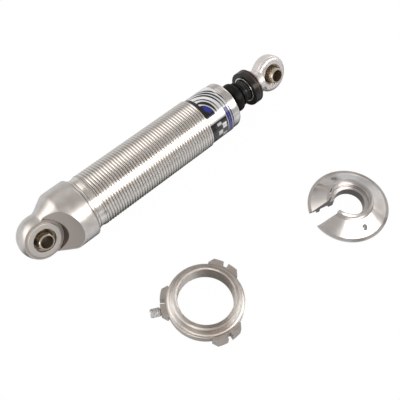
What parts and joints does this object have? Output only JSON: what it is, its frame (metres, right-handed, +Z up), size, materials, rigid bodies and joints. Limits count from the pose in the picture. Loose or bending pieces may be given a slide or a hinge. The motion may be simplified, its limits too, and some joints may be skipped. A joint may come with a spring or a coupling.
{
  "type": "coilover shock absorber",
  "caption": "Twin-tube coilover damper with a threaded body and spherical bearing eyes, lying beside its adjuster nut and slotted spring seat.",
  "frame": {"origin": "centre of the lower eye's bolt bore", "axes": "+X along the damper towards its rod end, seen from above; +Z up from the floor it lies on; the damper's own axis dips 1.2 degrees towards the rod end"},
  "size_m": [0.3231, 0.2214, 0.0584],
  "materials": {
    "machined_base": "satin machined and tumbled aluminium",
    "threaded_body": "bright turned thread",
    "label_film": "glossy printed film with black, silver and blue bands",
    "machined_cap": "fine turned aluminium",
    "plain_aluminium": "plain turned aluminium",
    "polished_aluminium": "polished aluminium",
    "machined_nut": "satin tumbled aluminium with bright turned edges",
    "machined_seat": "bright turned aluminium",
    "black_anodised": "satin black anodised aluminium",
    "bearing_steel": "ground bearing steel with an oil tint",
    "spacer_steel": "plated steel with a warm tint",
    "spring_steel": "blued spring steel",
    "tube_steel": "plain steel",
    "chromed_rod": "hard chrome, ground",
    "zinc_screw": "bright zinc plate",
    "bronze": "sintered bronze",
    "black_rubber": "nitrile rubber",
    "bump_rubber": "matt moulded rubber",
    "ring_rubber": "dark brown rubber",
    "slide_plastic": "natural nylon"
  },
  "bodies": {
    "body": {"base_cap": "machined_base", "lower_race": "bearing_steel", "lower_snap_rings": "spring_steel", "body_tube": "threaded_body", "body_label": "label_film", "top_cap": "machined_cap", "rod_wiper": "black_rubber", "rod_seal": "black_rubber", "rod_guide": "plain_aluminium", "guide_bush": "bronze", "guide_o_ring": "black_rubber", "pressure_tube": "tube_steel", "foot_valve": "plain_aluminium", "foot_shim": "spring_steel", "foot_bolt": "tube_steel"},
    "rod": {"piston_rod": "chromed_rod", "piston_nut": "tube_steel", "compression_shims": "spring_steel", "piston": "plain_aluminium", "piston_band": "slide_plastic", "rebound_shims": "spring_steel", "rebound_stop": "tube_steel", "bump_stop": "bump_rubber", "seat_flange": "black_anodised", "flange_o_ring": "ring_rubber", "rod_end": "polished_aluminium", "upper_race": "bearing_steel", "upper_snap_rings": "spring_steel"},
    "knob": {"rebound_knob": "black_anodised"},
    "needle": {"metering_needle": "tube_steel", "needle_pin": "tube_steel"},
    "lower_bearing_ball": {"lower_ball": "bearing_steel"},
    "lower_bearing_spacers": {"lower_spacers": "spacer_steel"},
    "upper_bearing_ball": {"upper_ball": "bearing_steel"},
    "upper_bearing_spacers": {"upper_spacers": "spacer_steel"},
    "nut": {"adjuster_nut": "machined_nut"},
    "pad": {"lock_pad": "slide_plastic"},
    "screw": {"lock_screw": "zinc_screw"},
    "spring_seat": {"upper_spring_seat": "machined_seat"}
  },
  "joints": [
    {"name": "rod_slide", "type": "slide", "parent": "body", "child": "rod", "axis": [0.9998, 0, -0.0211], "range_m": [0, 0.102]},
    {"name": "knob_turn", "type": "hinge", "parent": "rod", "child": "knob", "pos_m": [0.24684, 0, -0.00522], "axis": [0.9998, 0, -0.0211], "range_deg": [-270, 270]},
    {"name": "needle_slide", "type": "slide", "parent": "rod", "child": "needle", "axis": [0.9998, 0, -0.0211], "range_m": [-0.00075, 0.00075]},
    {"name": "lower_ball_tilt", "type": "hinge", "parent": "body", "child": "lower_bearing_ball", "pos_m": [0, 0, 0], "axis": [0.0187, 0.4695, 0.8828], "range_deg": [-12, 12]},
    {"name": "lower_spacer_spin", "type": "hinge", "parent": "lower_bearing_ball", "child": "lower_bearing_spacers", "pos_m": [0, 0, 0], "axis": [0.0099, -0.8829, 0.4694], "continuous": true},
    {"name": "upper_ball_tilt", "type": "hinge", "parent": "rod", "child": "upper_bearing_ball", "pos_m": [0.28404, 0, -0.006], "axis": [0.0187, 0.4695, 0.8828], "range_deg": [-12, 12]},
    {"name": "upper_spacer_spin", "type": "hinge", "parent": "upper_bearing_ball", "child": "upper_bearing_spacers", "pos_m": [0.28404, 0, -0.006], "axis": [0.0099, -0.8829, 0.4694], "continuous": true},
    {"name": "nut_lift", "type": "slide", "parent": "body", "child": "nut", "axis": [0, 0, 1], "range_m": [0, 0.12]},
    {"name": "pad_advance", "type": "slide", "parent": "nut", "child": "pad", "axis": [-0.8729, 0.4879, 0], "range_m": [0, 0.003]},
    {"name": "lock_turn", "type": "hinge", "parent": "pad", "child": "screw", "pos_m": [0.03848, -0.11569, -0.02469], "axis": [-0.8729, 0.4879, 0], "range_deg": [0, 1080]},
    {"name": "seat_lift", "type": "slide", "parent": "body", "child": "spring_seat", "axis": [0, 0, 1], "range_m": [0, 0.12]}
  ],
  "couplings": [
    {"joint": "knob_turn", "follows": "needle_slide", "rad_per_m": 6283.2},
    {"joint": "lock_turn", "follows": "pad_advance", "rad_per_m": 6283.2}
  ]
}
